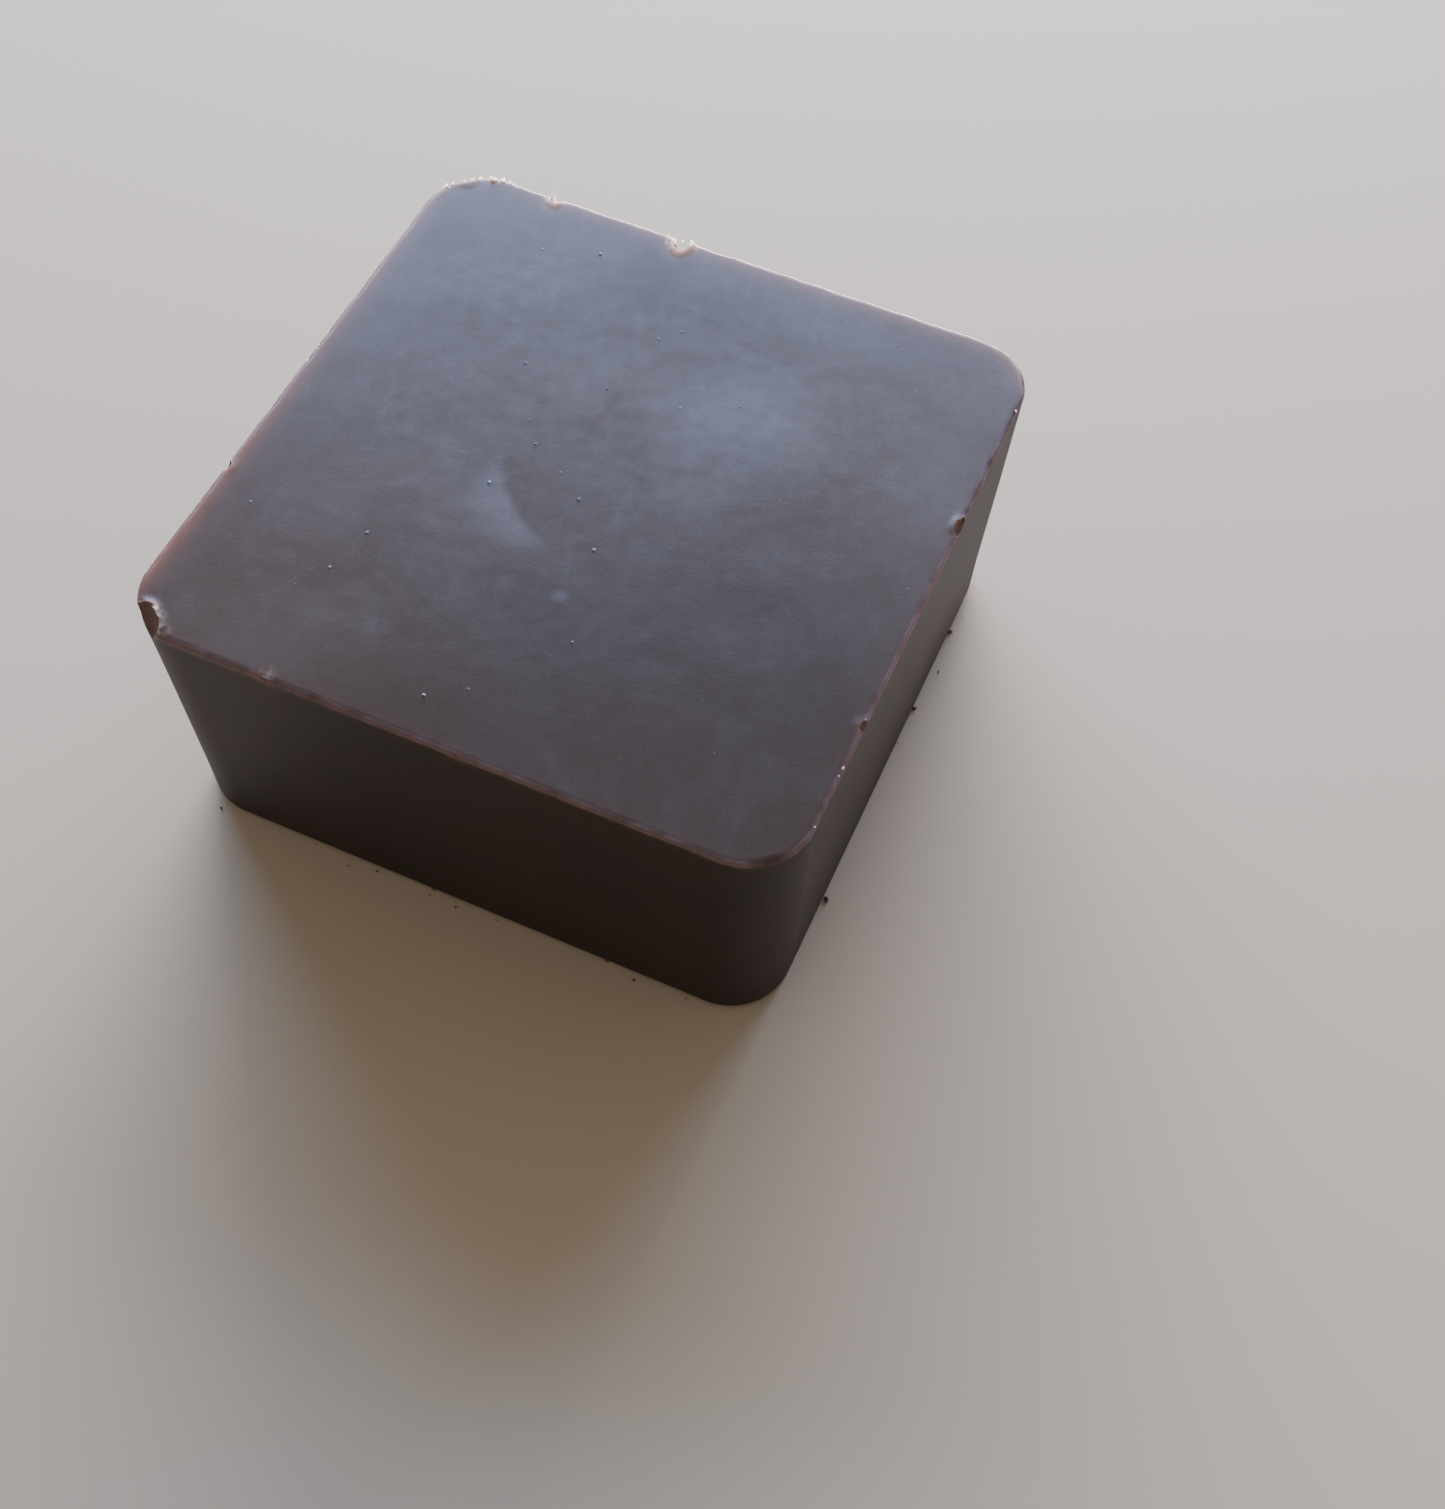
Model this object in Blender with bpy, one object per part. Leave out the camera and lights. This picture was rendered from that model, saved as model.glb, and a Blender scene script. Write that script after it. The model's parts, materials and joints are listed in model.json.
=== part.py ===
"""A square piece of chocolate fudge, cast in a small mould and lying on its smaller, moulded face.

Units are metres and +Z is up.  The origin is on the surface that the piece lies on, under its middle.
The wide poured face is on top.  Its edge is a thin, slightly ragged lip, chipped in a few places.
"""
import math
from collections import namedtuple

import bmesh
import bpy
from mathutils import Matrix, Vector, noise

MM = 0.001

# Driving dimensions: the block.
SIDE = 32.0 * MM              # across the poured face, over the lip
HEIGHT = 15.0 * MM            # from the base to the level of the poured face
BASE_INSET = 0.58 * MM        # how far the base stands in from the lip, on each side
RIM_CORNER = 3.1 * MM         # radius of the lip's corners, seen from above
BASE_CORNER = 3.0 * MM        # radius of the base's corners, seen from above
BASE_ROUND = 0.5 * MM         # rounding between the walls and the flat base

# Driving dimensions: the lip round the poured face.
LIP_REACH = 0.05 * MM         # how far it stands out from the wall
LIP_DROP = 0.6 * MM           # height over which it flares out
RIM_WIDTH = 0.50 * MM         # how far in the rounding of its upper edge begins
RIM_DROP = 0.36 * MM          # height of that rounding
RAG_DEPTH = 0.09 * MM         # how far its ragged outline falls back
RAG_LENGTH = 1.3 * MM         # length of one wave of that outline

# Driving dimensions: the poured face.
DISH_DEPTH = 0.12 * MM        # how far its middle sags
RIPPLE_DEPTH = 0.04 * MM      # unevenness left by stirring and pouring
RIPPLE_LENGTH = 5.0 * MM

# How finely the faces are divided.
GRID = 36                     # cells along each side of the poured face
BASE_STEPS = 2
WALL_STEPS = 2
LIP_STEPS = 2
RIM_STEPS = 2

# A crease is a curved fold in the face: a short steep bank outside it and a long gentle one inside.
Crease = namedtuple("Crease", "centre radius start end outer inner depth")
SWIRL = Crease((0.3 * MM, 0.9 * MM), 5.05 * MM, 190, 271, 2.1 * MM, 3.0 * MM, 0.04 * MM)
SHOULDER = Crease((4.2 * MM, 4.6 * MM), 5.0 * MM, 58, 122, 1.0 * MM, 2.2 * MM, 0.012 * MM)

# Low round swells (height above 0) and hollows (below 0) left where the fudge set.
Swell = namedtuple("Swell", "centre radius height")
SWELLS = (
    Swell((4.2 * MM, 5.0 * MM), 4.6 * MM, 0.03 * MM),
    Swell((9.0 * MM, -4.5 * MM), 3.2 * MM, -0.03 * MM),
)

# A chip is a scoop out of the lip: heading is the way that stretch of lip faces, in degrees (90 is
# the far side, 225 the near left corner), and along is its place, counter-clockwise from the middle.
Chip = namedtuple("Chip", "heading along width reach drop seed")
CHIPS = (
    Chip(90, 3.0 * MM, 1.0 * MM, 0.85 * MM, 1.5 * MM, 1),
    Chip(90, 10.1 * MM, 0.65 * MM, 0.5 * MM, 0.7 * MM, 2),
    Chip(225, 0.6 * MM, 2.1 * MM, 0.75 * MM, 0.9 * MM, 68),
    Chip(270, -8.3 * MM, 0.7 * MM, 0.24 * MM, 0.32 * MM, 4),
    Chip(270, 0.9 * MM, 0.6 * MM, 0.22 * MM, 0.3 * MM, 5),
    Chip(0, -7.4 * MM, 0.8 * MM, 0.4 * MM, 0.6 * MM, 6),
    Chip(0, 4.6 * MM, 1.3 * MM, 0.5 * MM, 0.8 * MM, 7),
    Chip(180, 6.4 * MM, 0.7 * MM, 0.26 * MM, 0.36 * MM, 8),
)
CHIP_ROUGHNESS = 0.16         # share by which a chip's broken surface swings in and out
CHIP_DETAIL = 3               # subdivisions of the ball that scoops it

CHOCOLATE = (0.030, 0.017, 0.012, 1.0)


def clear_scene():
    for thing in list(bpy.data.objects):
        bpy.data.objects.remove(thing, do_unlink=True)


def chocolate():
    """Dark, satin chocolate."""
    material = bpy.data.materials.new("chocolate_fudge")
    material.use_nodes = True
    shader = material.node_tree.nodes["Principled BSDF"]
    shader.inputs["Base Color"].default_value = CHOCOLATE
    shader.inputs["Roughness"].default_value = 0.38
    shader.inputs["Metallic"].default_value = 0.0
    return material


def smooth(share):
    """Ease from 0 to 1 as share goes from 0 to 1."""
    share = min(max(share, 0.0), 1.0)
    return share * share * (3.0 - 2.0 * share)


def wrinkle(x, y, length, layer):
    """Smooth noise between about -1 and 1, with waves of the given length."""
    return noise.noise(Vector((x / length, y / length, layer * 7.3)))


def on_rounded_square(u, v, half, corner):
    """The point that (u, v) of the square -1..1 takes on a rounded square of half side half."""
    ring = max(abs(u), abs(v))
    if ring == 0.0:
        return 0.0, 0.0
    half, corner = half * ring, corner * ring
    lengthwise = abs(u) <= abs(v)
    ahead, side = (v, u) if lengthwise else (u, v)
    straight = half - corner
    walked = abs(side) / ring * (straight + corner * math.pi / 4)
    if walked <= straight:
        across, out = walked, half
    else:
        turn = (walked - straight) / corner
        across = straight + corner * math.sin(turn)
        out = straight + corner * math.cos(turn)
    across = math.copysign(across, side)
    out = math.copysign(out, ahead)
    return (across, out) if lengthwise else (out, across)


def border():
    """Grid places round the edge of the poured face, counter-clockwise from its near left corner."""
    last = GRID
    return (
        [(i, 0) for i in range(last)]
        + [(last, j) for j in range(last)]
        + [(last - i, last) for i in range(last)]
        + [(0, last - j) for j in range(last)]
    )


def grid_uv(place):
    return tuple(2.0 * step / GRID - 1.0 for step in place)


def crease_height(crease, x, y):
    """Height of a crease at a point: sharp and deepest on its arc, easing out over its two banks."""
    dx, dy = x - crease.centre[0], y - crease.centre[1]
    across = math.hypot(dx, dy) - crease.radius
    turn = math.degrees(math.atan2(dy, dx)) % 360
    along = (turn - crease.start) / (crease.end - crease.start)
    ends = smooth(along / 0.3) * smooth((1.0 - along) / 0.3)
    width = crease.outer if across > 0 else crease.inner
    return -crease.depth * ends * max(1.0 - abs(across) / width, 0.0) ** 2


def poured_height(x, y):
    """Height of the poured face over its edge, which is its highest line."""
    edge = max(abs(x), abs(y)) / (SIDE / 2)
    fade = smooth((1.0 - edge) / 0.12)
    height = -DISH_DEPTH * smooth(1.0 - math.hypot(x, y) / (SIDE / 2))
    height -= RIPPLE_DEPTH * (1.0 - wrinkle(x, y, RIPPLE_LENGTH, 1)) / 2
    for crease in (SWIRL, SHOULDER):
        height += crease_height(crease, x, y)
    for swell in SWELLS:
        reach = math.hypot(x - swell.centre[0], y - swell.centre[1]) / swell.radius
        height += swell.height * smooth(1.0 - reach)
    return min(height, 0.0) * fade


def profile():
    """Rings from the base up to the poured face: inset from the lip, height, corner, raggedness."""
    rings = []
    for step in range(BASE_STEPS + 1):
        turn = math.pi / 2 * step / BASE_STEPS
        inward = BASE_ROUND * (1.0 - math.sin(turn))
        height = BASE_ROUND * (1.0 - math.cos(turn))
        rings.append((BASE_INSET + inward, height, BASE_CORNER - inward, 0.0))
    wall_top = HEIGHT - LIP_DROP - RIM_DROP
    for step in range(1, WALL_STEPS + 1):
        share = step / WALL_STEPS
        inset = BASE_INSET + (LIP_REACH - BASE_INSET) * share
        corner = BASE_CORNER + (RIM_CORNER - LIP_REACH - BASE_CORNER) * share
        rings.append((inset, BASE_ROUND + (wall_top - BASE_ROUND) * share, corner, 0.0))
    for step in range(1, LIP_STEPS + 1):
        share = step / LIP_STEPS
        inset = LIP_REACH * (1.0 - share ** 2)
        rings.append((inset, wall_top + LIP_DROP * share, RIM_CORNER - inset, share))
    for step in range(1, RIM_STEPS + 1):
        turn = math.pi / 2 * step / RIM_STEPS
        inset = RIM_WIDTH * (1.0 - math.cos(turn))
        rings.append((inset, HEIGHT - RIM_DROP * (1.0 - math.sin(turn)), RIM_CORNER - inset, 1.0))
    return rings


def ragged(x, y):
    """How far the lip falls back from its full outline at a point."""
    wave = wrinkle(x, y, RAG_LENGTH, 2) + 0.5 * wrinkle(x, y, RAG_LENGTH / 2, 3)
    return RAG_DEPTH * min(max(wave, 0.0), 1.0)


def block_mesh():
    """The whole piece before it is chipped: base, rounded foot, walls, lip and poured face."""
    work = bmesh.new()
    rings = []
    for inset, height, corner, rag in profile():
        ring = []
        for place in border():
            x, y = on_rounded_square(*grid_uv(place), SIDE / 2 - inset, corner)
            back = 1.0 - rag * ragged(x, y) / (SIDE / 2)
            ring.append(work.verts.new((x * back, y * back, height)))
        rings.append(ring)
    for lower, upper in zip(rings, rings[1:]):
        for k, vert in enumerate(lower):
            after = (k + 1) % len(lower)
            work.faces.new((vert, lower[after], upper[after], upper[k]))
    work.faces.new(list(reversed(rings[0])))

    poured = dict(zip(border(), rings[-1]))
    for i in range(1, GRID):
        for j in range(1, GRID):
            x, y = on_rounded_square(*grid_uv((i, j)), SIDE / 2 - RIM_WIDTH, RIM_CORNER - RIM_WIDTH)
            poured[i, j] = work.verts.new((x, y, HEIGHT + poured_height(x, y)))
    for i in range(GRID):
        for j in range(GRID):
            corners = ((i, j), (i + 1, j), (i + 1, j + 1), (i, j + 1))
            work.faces.new([poured[place] for place in corners])

    mesh = bpy.data.meshes.new("fudge")
    work.to_mesh(mesh)
    work.free()
    return mesh


def lip_place(chip):
    """The point of the lip's outline where a chip is centred."""
    facing = math.radians(chip.heading)
    out = Vector((math.cos(facing), math.sin(facing)))
    along = Vector((-out.y, out.x))
    reach = SIDE / 2
    if chip.heading % 90:
        reach = math.sqrt(2) * (SIDE / 2 - RIM_CORNER) + RIM_CORNER
    return out * reach + along * chip.along


def chip_cutter(chip):
    """A rough ball centred on the lip, as wide, as far in and as far down as the chip goes."""
    work = bmesh.new()
    bmesh.ops.create_icosphere(work, subdivisions=CHIP_DETAIL, radius=1.0)
    for vert in work.verts:
        vert.co *= 1.0 + CHIP_ROUGHNESS * noise.noise(vert.co * 1.7 + Vector((chip.seed * 5.1, 0, 0)))
    stretch = Matrix.Diagonal((chip.reach, chip.width / 2, chip.drop, 1.0))
    turn = Matrix.Rotation(math.radians(chip.heading), 4, "Z")
    spot = lip_place(chip)
    work.transform(Matrix.Translation((spot.x, spot.y, HEIGHT)) @ turn @ stretch)
    mesh = bpy.data.meshes.new("chip_cutter")
    work.to_mesh(mesh)
    work.free()
    cutter = bpy.data.objects.new(f"chip_cutter_{chip.seed}", mesh)
    cutter.hide_render = True
    cutter.display_type = "WIRE"
    return cutter


def chip_cutters():
    """Every chip's cutter, in one collection, so that one cut takes them all."""
    cutters = bpy.data.collections.new("chip_cutters")
    bpy.context.scene.collection.children.link(cutters)
    for chip in CHIPS:
        cutters.objects.link(chip_cutter(chip))
    return cutters


def fudge():
    """The piece of fudge, with every chip cut out of its lip."""
    mesh = block_mesh()
    mesh.materials.append(chocolate())
    mesh.shade_smooth()
    mesh.set_sharp_from_angle(angle=math.radians(35))
    piece = bpy.data.objects.new("fudge", mesh)
    bpy.context.collection.objects.link(piece)
    chips = piece.modifiers.new("chips", "BOOLEAN")
    chips.operation = "DIFFERENCE"
    chips.solver = "EXACT"
    chips.operand_type = "COLLECTION"
    chips.collection = chip_cutters()
    return piece


clear_scene()
fudge()
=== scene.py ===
"""The looks of a moulded square of chocolate fudge.

One fine mesh stands for the plain solid: its creased and hazy poured face, its thin lip and the chips
broken out of it.  Specks of sugar, flakes of the lip and crumbs lie on it and round its foot.
"""
import json
import math
from collections import namedtuple

import bmesh
import bpy
from mathutils import Matrix, Vector, noise

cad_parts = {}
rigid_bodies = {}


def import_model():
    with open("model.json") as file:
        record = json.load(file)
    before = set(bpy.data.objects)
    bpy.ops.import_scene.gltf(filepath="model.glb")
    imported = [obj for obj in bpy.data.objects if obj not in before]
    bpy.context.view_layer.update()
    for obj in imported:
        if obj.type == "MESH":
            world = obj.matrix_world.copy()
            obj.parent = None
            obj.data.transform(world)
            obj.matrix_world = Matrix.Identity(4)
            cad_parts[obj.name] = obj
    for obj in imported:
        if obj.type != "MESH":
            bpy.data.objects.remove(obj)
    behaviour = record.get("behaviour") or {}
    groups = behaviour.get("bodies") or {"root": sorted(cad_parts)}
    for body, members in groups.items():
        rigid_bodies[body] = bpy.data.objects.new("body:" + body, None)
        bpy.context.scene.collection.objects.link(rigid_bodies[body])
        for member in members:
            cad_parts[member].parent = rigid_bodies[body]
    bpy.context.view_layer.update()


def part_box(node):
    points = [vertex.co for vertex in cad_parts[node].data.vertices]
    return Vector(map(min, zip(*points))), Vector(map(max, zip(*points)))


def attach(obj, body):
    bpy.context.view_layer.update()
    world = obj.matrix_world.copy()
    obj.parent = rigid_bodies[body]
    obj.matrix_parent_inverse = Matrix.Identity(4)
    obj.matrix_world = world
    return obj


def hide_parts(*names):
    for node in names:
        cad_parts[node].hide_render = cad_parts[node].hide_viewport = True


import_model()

MM = 0.001

# The block's own sizes come from the solid in the frame.
LOW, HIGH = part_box("fudge")
SIDE = HIGH.x - LOW.x
HEIGHT = HIGH.z
BASE_INSET = 0.58 * MM        # how far the base stands in from the lip
RIM_CORNER = 3.1 * MM         # radius of the lip's corners, seen from above
BASE_CORNER = 3.0 * MM
BASE_ROUND = 0.5 * MM         # rounding between the walls and the base

LIP_REACH = 0.05 * MM         # how far the lip stands out from the wall
LIP_DROP = 0.6 * MM           # height over which it flares out
RIM_WIDTH = 0.20 * MM         # how far in the rounding of its upper edge begins
RIM_DROP = 0.16 * MM          # height of that rounding
RIM_DENT = 0.020 * MM         # how far that rounding sinks in places
RIM_DENT_LENGTH = 1.1 * MM
RAG_DEPTH = 0.06 * MM         # how far its ragged outline falls back
RAG_LENGTH = 1.3 * MM
FRAY_DEPTH = 0.04 * MM        # finer fraying of the same edge
FRAY_LENGTH = 0.34 * MM

DISH_DEPTH = 0.12 * MM        # how far the middle of the poured face sags
RIPPLE_DEPTH = 0.04 * MM      # slow unevenness left by pouring
RIPPLE_LENGTH = 5.0 * MM
SKIN_DEPTH = 0.004 * MM       # fine unevenness of the skin that the fudge sets with
SKIN_LENGTH = 0.9 * MM
WALL_DEPTH = 0.03 * MM        # slow waviness that the soft mould leaves in the walls
WALL_LENGTH = 9.0 * MM

GRID = 176                    # cells along each side of the poured face
BASE_STEPS = 8                # rings of faces in each part of the side, from the base up
WALL_STEPS = 24
LIP_STEPS = 7
RIM_STEPS = 7
SHARP_ANGLE = 50              # degrees; edges that turn more than this look sharp

# A crease is a curved fold in the face: a short steep bank outside it and a long gentle one inside.
# Its haze is a painted highlight on the bank outside and painted shade on the bank inside.
Crease = namedtuple("Crease", "centre radius start end outer inner depth haze")
CREASES = (
    Crease((1.5 * MM, 2.2 * MM), 6.8 * MM, 190, 263, 2.1 * MM, 3.0 * MM, 0.03 * MM, 0.54),
    Crease((4.2 * MM, 4.6 * MM), 5.0 * MM, 58, 122, 1.0 * MM, 2.2 * MM, 0.012 * MM, 0.45),
)
CREASE_LINE = 0.60 * MM       # width over which the painted highlight turns to painted shade at the fold itself

Swell = namedtuple("Swell", "centre radius height")
SWELLS = (
    Swell((4.2 * MM, 5.0 * MM), 4.6 * MM, 0.03 * MM),
    Swell((1.2 * MM, -6.8 * MM), 0.6 * MM, 0.012 * MM),
    Swell((-7.1 * MM, -10.6 * MM), 1.1 * MM, 0.010 * MM),
    Swell((9.0 * MM, -4.5 * MM), 3.2 * MM, -0.03 * MM),
)

# Round patches of the poured face, paler (over 0) and darker (under 0): thicker and thinner bloom, and
# painted shade in the two wide ones at the near side.
Patch = namedtuple("Patch", "centre radius haze")
PATCHES = (
    Patch((4.4 * MM, 5.6 * MM), 5.6 * MM, 0.42),
    Patch((1.2 * MM, -6.7 * MM), 0.6 * MM, 0.4),
    Patch((-5.3 * MM, -11.4 * MM), 0.8 * MM, 0.3),
    Patch((-10.0 * MM, 6.4 * MM), 1.1 * MM, -0.14),
    Patch((3.9 * MM, 3.1 * MM), 1.0 * MM, -0.12),
    Patch((1.0 * MM, 4.5 * MM), 9.0 * MM, 0.09),
    Patch((-13.8 * MM, 11.4 * MM), 2.0 * MM, -0.3),
    Patch((-3.5 * MM, 13.8 * MM), 2.4 * MM, -0.3),
    # Painted shade: these two make the near side darker and warmer.
    Patch((-6.0 * MM, -15.0 * MM), 12.0 * MM, -0.13),
    Patch((-13.0 * MM, -7.5 * MM), 8.0 * MM, -0.20),
)
SHADE_PATCH = Patch((9.0 * MM, -13.0 * MM), 21.5 * MM, 1.0)     # painted shade over the near right of the poured face

# Spots at the chips where torn fudge shows cream, partly a painted highlight, each with how much it
# shows.
PALE_SPOTS = (
    Patch((-14.72 * MM, -14.62 * MM), 0.34 * MM, 0.9),
    Patch((-14.46 * MM, -14.76 * MM), 0.34 * MM, 0.9),
    Patch((-14.05 * MM, -15.10 * MM), 0.40 * MM, 0.3),
    Patch((-13.55 * MM, -15.60 * MM), 0.50 * MM, 0.2),
    Patch((-8.30 * MM, -15.62 * MM), 0.45 * MM, 0.15),
    Patch((-3.60 * MM, 15.65 * MM), 0.40 * MM, 1.0),
    Patch((-3.45 * MM, 15.30 * MM), 0.30 * MM, 0.8),
    Patch((-2.35 * MM, 15.75 * MM), 0.38 * MM, 0.9),
    Patch((-9.95 * MM, 15.65 * MM), 0.34 * MM, 0.8),
)

# Every point of the surface is marked with how much it has of each.  "poured" is the poured face, "haze"
# its thicker and thinner bloom with painted sheen and shade in it, "plain" painted shade on it, "lip"
# its edge with a painted red glow, "broken" a chip's face, "torn" the skin beside one, "pale" torn cream
# fudge with painted highlights, and "glow" and "shine" painted light from behind that shines through
# beside a chip and through the lip.
Marks = namedtuple("Marks", "poured lip broken torn haze pale glow shine plain", defaults=(0.0,) * 9)

# How far these marks reach.
MARKS_DROP = 2.0 * MM         # nothing is marked further below the poured face than this
HAZE_DROP = 0.4 * MM          # no bloom is marked further down than this
BREAK_SKIN = 0.03 * MM        # what lies this close to a chip's scoop is broken
TORN_WIDTH = 0.22 * MM        # how far the surface is torn beside a break
CREAM_DROP = 0.25 * MM        # how far down the cream of the pale spots shows
CREAM_LINE = 0.14 * MM        # width of the cream line along the corner's chip
CORNER_BREAK = -13.0 * MM     # that chip lies beyond this on both axes
GLOW_REACH = 0.15 * MM        # how far light from behind shines through beside a far chip
GLOW_DROP = 0.36 * MM         # how far down the chip it does
LIP_WIDTH = 0.25 * MM         # how far in from the outline the lip's painted red glow reaches
LIP_FADE = 0.22 * MM          # how far down the wall it does
SHINE_WIDTH = 0.36 * MM       # how far in light from behind shines through the lip
SHINE_DROP = 0.06 * MM        # how far down the wall it does
BLOOM_FADE = 0.24 * MM        # how far down the wall the poured face's bloom spreads

# Faint lines rubbed into the bloom.
Scratch = namedtuple("Scratch", "start end width haze")
SCRATCHES = (
    Scratch((-1.5 * MM, 6.8 * MM), (-1.9 * MM, 0.8 * MM), 0.40 * MM, -0.16),
    Scratch((-1.1 * MM, 4.6 * MM), (-1.3 * MM, 1.6 * MM), 0.30 * MM, -0.12),
    Scratch((-3.4 * MM, 11.2 * MM), (-2.2 * MM, 8.9 * MM), 0.35 * MM, 0.22),
    Scratch((-7.6 * MM, 10.8 * MM), (-6.7 * MM, 8.3 * MM), 0.35 * MM, 0.20),
    Scratch((1.3 * MM, 0.6 * MM), (1.6 * MM, -2.6 * MM), 0.35 * MM, 0.20),
    Scratch((-11.6 * MM, 1.9 * MM), (-10.9 * MM, -1.2 * MM), 0.40 * MM, 0.18),
)

# Chips broken out of the lip: which way each faces in degrees, its place along that side, and its size.
Chip = namedtuple("Chip", "heading along width reach drop seed")
CHIPS = (
    Chip(90, 3.0 * MM, 1.0 * MM, 0.85 * MM, 1.5 * MM, 1),
    Chip(90, 10.1 * MM, 0.65 * MM, 0.5 * MM, 0.7 * MM, 2),
    Chip(225, 0.6 * MM, 2.1 * MM, 0.75 * MM, 0.9 * MM, 68),
    Chip(135, -0.3 * MM, 2.9 * MM, 0.33 * MM, 0.5 * MM, 9),
    Chip(270, -8.3 * MM, 0.6 * MM, 0.14 * MM, 0.20 * MM, 4),
    Chip(270, 0.9 * MM, 0.5 * MM, 0.13 * MM, 0.18 * MM, 5),
    Chip(0, -7.4 * MM, 0.7 * MM, 0.26 * MM, 0.36 * MM, 6),
    Chip(0, 4.6 * MM, 1.2 * MM, 0.34 * MM, 0.50 * MM, 7),
    Chip(180, 6.4 * MM, 0.7 * MM, 0.26 * MM, 0.36 * MM, 8),
)
CHIP_ROUGHNESS = 0.16         # share by which a chip's broken surface swings in and out
CHIP_GRAIN = 0.05             # share by which its finer grain does
CHIP_DETAIL = 5               # subdivisions of the ball that scoops it
BURR_HEIGHT = 0.07 * MM       # ridge that a chip leaves along its edge on the poured face
BURR_WIDTH = 0.24 * MM

# The specks of sugar that catch the eye: how large they are, and their places in mm.
BIG_SPECK = 0.24 * MM
SMALL_SPECK = 0.17 * MM
BIG_SPECKS = (
    (-4.6, -2.0), (-0.6, -1.3), (1.4, -3.6), (-6.5, 5.2), (-8.3, -7.0), (-6.4, 13.2), (-1.7, -13.9),
)
SMALL_SPECKS = (
    (-4.7, 2.1), (-3.7, 0.8), (-2.0, -0.1), (-1.3, 9.3), (-2.2, 5.4), (1.3, 5.7), (3.9, 7.0),
    (-0.5, 10.2), (-8.8, -9.6), (-13.8, -7.8), (-9.1, 12.3), (2.8, -8.6), (-0.1, -12.7), (9.3, 13.9),
)

# Flakes that stand on the lip and in its chips: place and size in mm, and lean in radians.
Flake = namedtuple("Flake", "x y width height lean")
FLAKES = (
    Flake(-13.55, 15.85, 0.42, 0.34, 0.3),
    Flake(-13.20, 15.90, 0.38, 0.28, 0.1),
    Flake(-14.20, 15.38, 0.18, 0.30, 0.0),
    Flake(-14.60, 15.05, 0.16, 0.26, 0.2),
    Flake(-15.10, 14.65, 0.15, 0.32, 0.1),
    Flake(-15.40, 14.30, 0.14, 0.24, 0.2),
    Flake(-10.55, 15.85, 0.20, 0.36, 0.2),
    Flake(-10.02, 15.65, 0.22, 0.42, -0.1),
    Flake(-6.30, 15.90, 0.10, 0.40, 0.1),
    Flake(-3.78, 15.74, 0.30, 0.50, -0.2),
    Flake(-3.42, 15.62, 0.22, 0.34, -0.2),
    Flake(-2.45, 15.85, 0.34, 0.34, 0.3),
    Flake(-14.66, -14.62, 0.26, 0.16, -1.0),
)
BIG_FLAKE_SINK = 0.15 * MM    # how far these are sunk in the fudge

# Smaller flakes between them, standing by chance.
LIP_PLACES = 280              # places along each side where one may stand
FLAKE_INSET = 0.10 * MM       # how far inside the lip's outline these are
FLAKE_SINK = 0.08 * MM
FLAKE_WIDTH = 0.15 * MM
FLAKE_HEIGHT = 0.12 * MM
TORN_CORNER = (-13.6 * MM, 15.2 * MM)     # the far left corner, where they stand close together
TORN_CORNER_REACH = 2.2 * MM
TORN_CORNER_GAIN = 0.08 * MM              # how much taller they are there
TORN_SIDE = (-1.0 * MM, 15.5 * MM)        # they stand in patches beyond this and left of it
PATCH_LENGTH = 2.2 * MM

FOOT_STRIP = (-0.25 * MM, 0.50 * MM)      # where crumbs lie, out from the base's outline
FOOT_STEPS = 24

# The side that the window is on, from behind the piece and a little to its left.
WINDOW_AZIMUTH = 21           # degrees; 0 is +Y, counter-clockwise
WINDOW_TURN = math.radians(WINDOW_AZIMUTH)
WINDOW_SIDE = Vector((-math.sin(WINDOW_TURN), math.cos(WINDOW_TURN)))

# The camera stands where the straight edges of the piece, seen in perspective, put it.
CAMERA_PLACE = Vector((27.53, -53.61, 86.20)) * MM
CAMERA_AIM = Vector((-0.1951, 0.5016, -0.8428))
CAMERA_UP = Vector((-0.3537, 0.7655, 0.5375))
LENS = 48.0                   # mm, on a 36 mm sensor


# Shape ------------------------------------------------------------------------------------------

def smooth(share):
    """Ease from 0 to 1 as share goes from 0 to 1."""
    share = min(max(share, 0.0), 1.0)
    return share * share * (3.0 - 2.0 * share)


def faded(distance, reach):
    """1 at no distance, and dying away with it."""
    return math.exp(-max(distance, 0.0) / reach)


def wrinkle(x, y, length, layer):
    """Smooth noise between about -1 and 1, with waves of the given length."""
    return noise.noise(Vector((x / length, y / length, layer * 7.3)))


def on_rounded_square(u, v, half, corner):
    """The point that (u, v) of the square -1..1 takes on a rounded square of half side half."""
    ring = max(abs(u), abs(v))
    if ring == 0.0:
        return 0.0, 0.0
    half, corner = half * ring, corner * ring
    lengthwise = abs(u) <= abs(v)
    ahead, side = (v, u) if lengthwise else (u, v)
    straight = half - corner
    walked = abs(side) / ring * (straight + corner * math.pi / 4)
    if walked <= straight:
        across, out = walked, half
    else:
        turn = (walked - straight) / corner
        across = straight + corner * math.sin(turn)
        out = straight + corner * math.cos(turn)
    across = math.copysign(across, side)
    out = math.copysign(out, ahead)
    return (across, out) if lengthwise else (out, across)


def border(steps):
    """Grid places round the edge of a square, counter-clockwise from its near left corner."""
    return (
        [(i, 0) for i in range(steps)]
        + [(steps, j) for j in range(steps)]
        + [(steps - i, steps) for i in range(steps)]
        + [(0, steps - j) for j in range(steps)]
    )


def grid_uv(place, steps):
    """A grid place as a point of the square -1..1."""
    return tuple(2.0 * step / steps - 1.0 for step in place)


def lip_inset(x, y):
    """How far a point lies inside the lip's outline, seen from above."""
    x, y = abs(x), abs(y)
    inner = SIDE / 2 - RIM_CORNER
    if x > inner and y > inner:
        return RIM_CORNER - math.hypot(x - inner, y - inner)
    return SIDE / 2 - max(x, y)


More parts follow.
